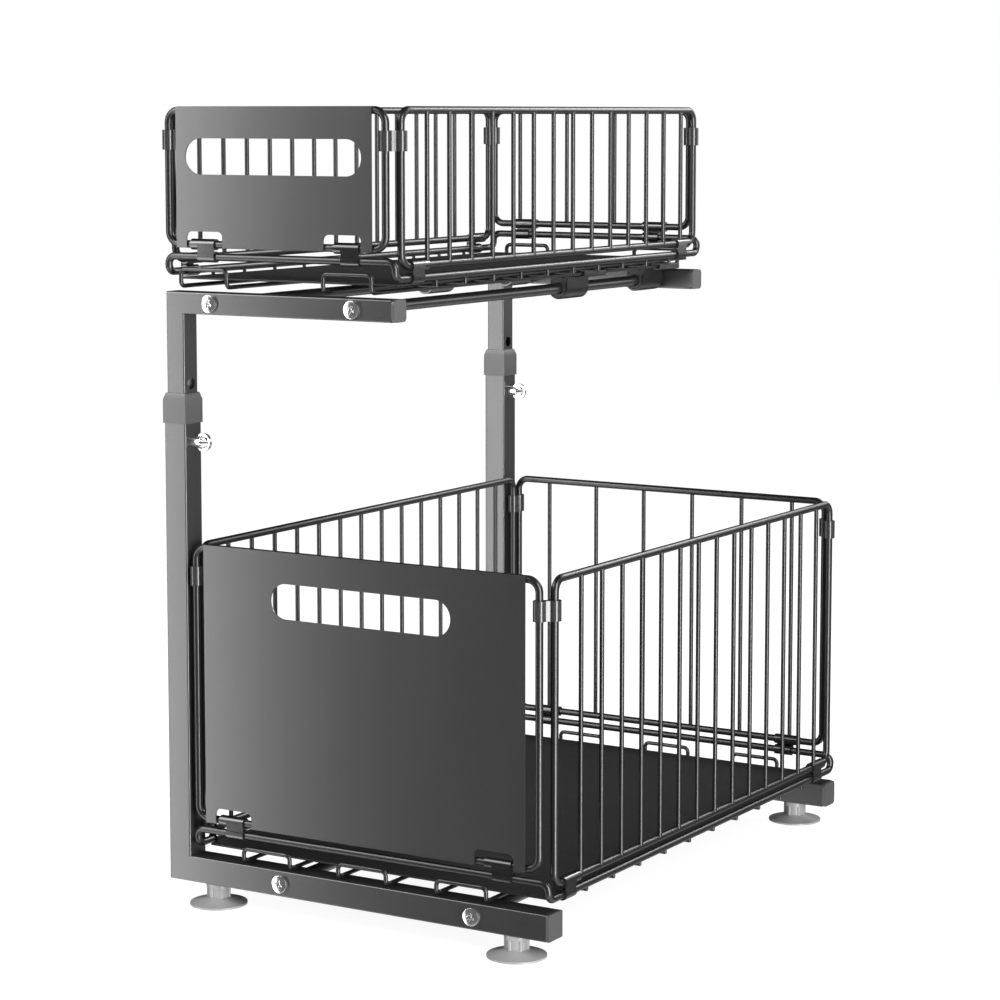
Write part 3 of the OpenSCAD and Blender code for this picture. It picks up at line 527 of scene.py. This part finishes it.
def makeFoot(spec, width):
    foot = addShape("cylinder", "footMaster", vertices=spec["steps"], radius=width / 2,
                    depth=spec["discEdge"], location=(0, 0, spec["discEdge"] / 2))
    settle(foot)
    editStart(foot)
    pickFaces(foot, facesUp)
    bpy.ops.mesh.inset(thickness=spec["slope"][0], depth=spec["slope"][1])
    bpy.ops.mesh.inset(thickness=spec["skirt"][0], depth=spec["skirt"][1])
    extrudeUp(spec["shaft"])
    extrudeUp(0)  # the band's foot, widened in place
    shaftRadius = width / 2 - spec["slope"][0] - spec["skirt"][0]
    widen = spec["capRadius"] / shaftRadius
    bpy.ops.transform.resize(value=(widen, widen, 1), center_override=(0, 0, 0))
    extrudeUp(spec["cap"])
    bpy.ops.mesh.inset(thickness=spec["capDish"], depth=0)
    pickFaces(foot, lambda at, normal: facesDown(at, normal) and at.z < spec["discEdge"] / 2)
    bpy.ops.mesh.inset(thickness=spec["seat"], depth=0)
    bpy.ops.mesh.inset(thickness=spec["hollow"][0], depth=-spec["hollow"][1])
    editEnd()
    shaftFoot = spec["discEdge"] + spec["slope"][1] + spec["skirt"][1]
    ribHeight = spec["shaft"] + spec["cap"] / 2
    for index in range(spec["ribs"]):
        angle = math.radians(spec["ribTurn"] + index * 360 / spec["ribs"])
        rib = addShape("cylinder", "rib", vertices=spec["ribSteps"], radius=spec["ribRadius"],
                       depth=ribHeight,
                       location=(math.cos(angle) * spec["ribOut"],
                                 math.sin(angle) * spec["ribOut"],
                                 shaftFoot + ribHeight / 2 - spec["ribSink"]))
        settle(rib)
        combine(foot, rib, "UNION")
    softenEdges(foot, spec["edge"])
    return foot


footNodes = ("foot_front_left", "foot_front_right", "foot_rear_left", "foot_rear_right")
low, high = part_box(footNodes[0])
footMaster = makeFoot(footSpec, high.x - low.x)
for nodeName in footNodes:
    at = middle(nodeName)
    foot = copyPiece(footMaster, nodeName + "_soft", (at.x, at.y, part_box(nodeName)[0].z))
    finishPiece(foot, "lower_frame", nodeName)
bpy.data.objects.remove(footMaster)
print("feet made")

# Rod screws: domed pan heads with a tapered cross recess.

screwSpec = {
    "steps": 40,
    "radius": 0.0060,
    "rim": 0.0019,  # upright part of the head
    "height": 0.0026,
    "rings": 5,
    "domeRadius": 0.0261,
    "crossLength": 0.0070,
    "crossWidth": 0.0015,
    "crossDepth": 0.0019,
    "crossTaper": 0.62,
    "frontTurn": 0.35,  # how far the crosses are turned, in radians
    "rearTurn": 0.8,
    "edge": 0.00014,
}


def makeScrew(spec):
    def domeHeight(radius):
        reach = spec["domeRadius"]
        return spec["height"] - reach + math.sqrt(reach ** 2 - radius ** 2)

    screw = addShape("cylinder", "screwMaster", vertices=spec["steps"], radius=spec["radius"],
                     depth=spec["rim"], location=(0, 0, spec["rim"] / 2))
    settle(screw)
    editStart(screw)
    pickFaces(screw, facesUp)
    radii = [spec["radius"] * math.cos(index / spec["rings"] * rightAngle)
             for index in range(spec["rings"])]
    for outer, inner in zip(radii, radii[1:]):
        bpy.ops.mesh.inset(thickness=outer - inner, depth=domeHeight(inner) - domeHeight(outer))
    editEnd()
    for turn in (0, rightAngle):
        arm = addShape("cube", "crossArm", size=1, location=(0, 0, spec["height"]))
        arm.scale = (spec["crossLength"], spec["crossWidth"], 2 * spec["crossDepth"])
        arm.rotation_euler = (0, 0, turn)
        settle(arm)
        editStart(arm)
        pickFaces(arm, facesDown)
        bpy.ops.transform.resize(value=(spec["crossTaper"], spec["crossTaper"], 1),
                                 center_override=(0, 0, spec["height"]))
        editEnd()
        combine(screw, arm, "DIFFERENCE")
    softenEdges(screw, spec["edge"])
    return screw


# The screws' places come from the rods that they hold and the faces that their heads lie on.
screwSets = (
    {"node": "lower_rod_screws", "body": "lower_frame",
     "rods": ("lower_left_rod", "lower_right_rod"),
     "front": "front_base_rail", "rear": "rear_base_rail"},
    {"node": "upper_rod_screws", "body": "upper_frame",
     "rods": ("upper_left_rod", "upper_right_rod"),
     "front": "front_upper_rail", "rear": "rear_upper_rail"},
)
screwMaster = makeScrew(screwSpec)
for screwSet in screwSets:
    heads = []
    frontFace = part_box(screwSet["front"])[0].y
    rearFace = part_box(screwSet["rear"])[1].y
    for rodName in screwSet["rods"]:
        at = middle(rodName)
        heads.append(copyPiece(screwMaster, "screw", (at.x, frontFace, at.z),
                               (rightAngle, screwSpec["frontTurn"], 0)))
        heads.append(copyPiece(screwMaster, "screw", (at.x, rearFace, at.z),
                               (-rightAngle, screwSpec["rearTurn"], 0)))
    screws = joinPieces(heads, screwSet["node"] + "_heads")
    finishPiece(screws, screwSet["body"], screwSet["node"])
bpy.data.objects.remove(screwMaster)
print("rod screws made")

# Wing bolts: a short hub and a round flat grip with a raised rim.

boltSpec = {
    "hubSteps": 40,
    "gripSteps": 48,
    "ridgeSteps": 32,  # round the ridge and round the shank
    "hubRadius": 0.0037,
    "hubLength": 0.0060,
    "hubTaper": 0.0004,
    "gripRadius": 0.0061,
    "gripOut": 0.0084,  # middle of the grip from the hub's foot
    "gripThick": 0.0028,
    "rimWidth": 0.0011,
    "groove": 0.0009,  # depth and half the width of the groove inside the rim
    "grooveRise": 0.9,  # share of that depth by which the face inside it comes up again
    "ridge": (0.0030, 0.0013, 0.0082),  # radii at the hub and at the tip, length
    "ridgeSink": 0.0005,  # how far it goes into the hub
    "shankRadius": 0.003,
    "edge": 0.0002,
}


def makeWingBolt(spec):
    bolt = addShape("cylinder", "boltMaster", vertices=spec["hubSteps"], radius=spec["hubRadius"],
                    depth=spec["hubLength"], location=(0, 0, spec["hubLength"] / 2))
    settle(bolt)
    editStart(bolt)
    pickFaces(bolt, facesUp)
    bpy.ops.mesh.inset(thickness=spec["hubTaper"], depth=spec["hubTaper"])
    editEnd()
    grip = addShape("cylinder", "grip", vertices=spec["gripSteps"], radius=spec["gripRadius"],
                    depth=spec["gripThick"], location=(0, 0, spec["gripOut"]),
                    rotation=(rightAngle, 0, 0))
    settle(grip)
    editStart(grip)
    for side in (-1, 1):
        pickFaces(grip, lambda at, normal: normal.y * side > squareOn)
        bpy.ops.mesh.inset(thickness=spec["rimWidth"], depth=0)
        bpy.ops.mesh.inset(thickness=spec["groove"], depth=-spec["groove"])
        bpy.ops.mesh.inset(thickness=spec["groove"], depth=spec["groove"] * spec["grooveRise"])
    editEnd()
    combine(bolt, grip, "UNION")
    wide, narrow, length = spec["ridge"]
    ridge = addShape("cone", "ridge", vertices=spec["ridgeSteps"], radius1=wide, radius2=narrow,
                     depth=length,
                     location=(0, 0, spec["hubLength"] - spec["ridgeSink"] + length / 2))
    settle(ridge)
    combine(bolt, ridge, "UNION")
    softenEdges(bolt, spec["edge"], segments=3)
    return bolt


boltMaster = makeWingBolt(boltSpec)
for side in ("front", "rear"):
    nodeName = side + "_wing_bolt"
    low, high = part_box(nodeName)
    hubFoot = high.x - boltSpec["gripOut"] - boltSpec["gripRadius"]
    at = (low + high) / 2
    bolt = copyPiece(boltMaster, nodeName + "_plated", (hubFoot, at.y, at.z), (0, rightAngle, 0))
    shank = addShape("cylinder", "shank", vertices=boltSpec["ridgeSteps"],
                     radius=boltSpec["shankRadius"], depth=hubFoot - low.x,
                     location=((hubFoot + low.x) / 2, at.y, at.z), rotation=(0, rightAngle, 0))
    settle(shank)
    finishPiece(joinPieces([bolt, shank], nodeName + "_plated"), nodeName, nodeName)
bpy.data.objects.remove(boltMaster)
print("wing bolts made")

# Front sheets: a hand slot, two notches over the hinge clips and softly broken edges.

sheetSpec = {
    "slotWidth": 0.1435,
    "slotHeight": 0.0243,
    "slotRound": 0.4999,  # of its height, so that its ends are half circles
    "slotDrop": 0.0335,  # from the top edge to the slot's middle
    "notchWidth": 0.030,
    "notchHeight": 0.011,
    "notchInset": 0.0085,
    "notchRound": 0.004,
    "arcSteps": 14,
    "cutDepth": 4,  # of the sheet's thickness
    "edge": 0.00035,
}


# A block whose corners are rounded where the test says so, to cut an opening with.
def addRoundedCutter(width, height, depth, place, radius, steps, test):
    cutter = addShape("cube", "cutter", size=1)
    cutter.scale = (width, depth, height)
    settle(cutter)
    editStart(cutter, "EDGE")
    pickEdges(cutter, lambda at, along: abs(along.y) > squareOn and test(at))
    bpy.ops.mesh.bevel(offset=radius, segments=steps, affect="EDGES")
    editEnd()
    cutter.location = place
    settle(cutter)
    return cutter


def makeSheet(spec, nodeName):
    low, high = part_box(nodeName)
    size = high - low
    sheet = addShape("cube", nodeName + "_sheet", size=1, location=(low + high) / 2)
    sheet.scale = size
    settle(sheet)
    depth = spec["cutDepth"] * size.y
    slot = addRoundedCutter(spec["slotWidth"], spec["slotHeight"], depth,
                            ((low.x + high.x) / 2, low.y, high.z - spec["slotDrop"]),
                            spec["slotHeight"] * spec["slotRound"], spec["arcSteps"],
                            lambda at: True)
    combine(sheet, slot, "DIFFERENCE")
    reach = spec["notchInset"] + spec["notchWidth"] / 2
    for x in (low.x + reach, high.x - reach):
        notch = addRoundedCutter(spec["notchWidth"], 2 * spec["notchHeight"], depth,
                                 (x, low.y, low.z), spec["notchRound"], spec["arcSteps"] // 2,
                                 lambda at: at.z > 0)
        combine(sheet, notch, "DIFFERENCE")
    softenEdges(sheet, spec["edge"])
    return sheet


for basket in ("lower", "upper"):
    nodeName = basket + "_front_panel"
    finishPiece(makeSheet(sheetSpec, nodeName), basket + "_basket", nodeName)
print("front sheets made")

# Pressed and moulded pieces: the solid itself, welded up and with every sharp edge broken.

weldSpec = {
    "gap": 0.000001,
    "flatAngle": 0.5,  # degrees below which two faces become one
}
# The body that each piece rides on, and how wide its broken edges are.
brokenEdges = {
    "front_collar": ("lower_frame", 0.0004), "rear_collar": ("lower_frame", 0.0004),
    "front_base_plug": ("lower_frame", 0.0005), "rear_base_plug": ("lower_frame", 0.0005),
    "front_upper_plug": ("upper_frame", 0.0005), "rear_upper_plug": ("upper_frame", 0.0005),
    "lower_corner_clips": ("lower_basket", 0.0004), "upper_corner_clips": ("upper_basket", 0.0004),
    "lower_hinge_clips": ("lower_basket", 0.0003), "upper_hinge_clips": ("upper_basket", 0.0003),
    "lower_runner_hooks": ("lower_basket", 0.0003), "upper_runner_hooks": ("upper_basket", 0.0003),
    "lower_runner_pads": ("lower_basket", 0.0004), "upper_runner_pads": ("upper_basket", 0.0004),
    "lower_liner": ("lower_basket", 0.0004), "upper_liner": ("upper_basket", 0.0004),
}


def weldedCopy(nodeName):
    data = frame["nodes"][nodeName].data.copy()
    piece = bpy.data.objects.new(nodeName + "_finished", data)
    bpy.context.scene.collection.objects.link(piece)
    editStart(piece, "VERT")
    bpy.ops.mesh.select_all(action="SELECT")
    bpy.ops.mesh.customdata_custom_splitnormals_clear()
    bpy.ops.mesh.remove_doubles(threshold=weldSpec["gap"])
    bpy.ops.mesh.dissolve_limited(angle_limit=math.radians(weldSpec["flatAngle"]))
    editEnd()
    return piece


# Corners of the box round each loose part of a mesh.
def looseBoxes(piece):
    shape = bmesh.new()
    shape.from_mesh(piece.data)
    reached = set()
    found = []
    for first in shape.verts:
        if first in reached:
            continue
        reached.add(first)
        part = [first]
        for vertex in part:  # grows while it is walked
            for edge in vertex.link_edges:
                other = edge.other_vert(vertex)
                if other not in reached:
                    reached.add(other)
                    part.append(other)
        spots = [vertex.co.copy() for vertex in part]
        found.append((Vector([min(spot[axis] for spot in spots) for axis in range(3)]),
                      Vector([max(spot[axis] for spot in spots) for axis in range(3)])))
    shape.free()
    return found


# The web of each hinge clip lies back from its two rolled ends.
hingeSpec = {
    "webBack": 0.0007,
    "webFrom": 0.0022,  # from the middle of each roll
    "cutterThick": 0.002,
    "cutterReach": 1.2,  # of the clip's width
}


def recessWebs(piece, spec, trayLow, trayHigh):
    cutters = []
    for low, high in looseBoxes(piece):
        centre, size = (low + high) / 2, high - low
        rollRadius = min(size.x, size.y) / 2
        alongX = size.x > size.y
        away = centre - (trayLow + trayHigh) / 2
        outward = Vector((0, away.y, 0)) if alongX else Vector((away.x, 0, 0))
        outward.normalize()
        bottom = low.z + rollRadius + spec["webFrom"]
        top = high.z - rollRadius - spec["webFrom"]
        thick, reach = spec["cutterThick"], spec["cutterReach"]
        at = centre + outward * (rollRadius - spec["webBack"] + thick / 2)
        cutter = addShape("cube", "webCutter", size=1, location=(at.x, at.y, (bottom + top) / 2))
        if alongX:
            cutter.scale = (size.x * reach, thick, top - bottom)
        else:
            cutter.scale = (thick, size.y * reach, top - bottom)
        settle(cutter)
        cutters.append(cutter)
    combine(piece, joinPieces(cutters, "webCutters"), "DIFFERENCE")


for nodeName, (bodyName, width) in brokenEdges.items():
    piece = weldedCopy(nodeName)
    if nodeName.endswith("hinge_clips"):
        recessWebs(piece, hingeSpec, *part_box(nodeName.replace("hinge_clips", "tray_rim")))
    softenEdges(piece, width)
    finishPiece(piece, bodyName, nodeName)
print("pressed and moulded pieces made")
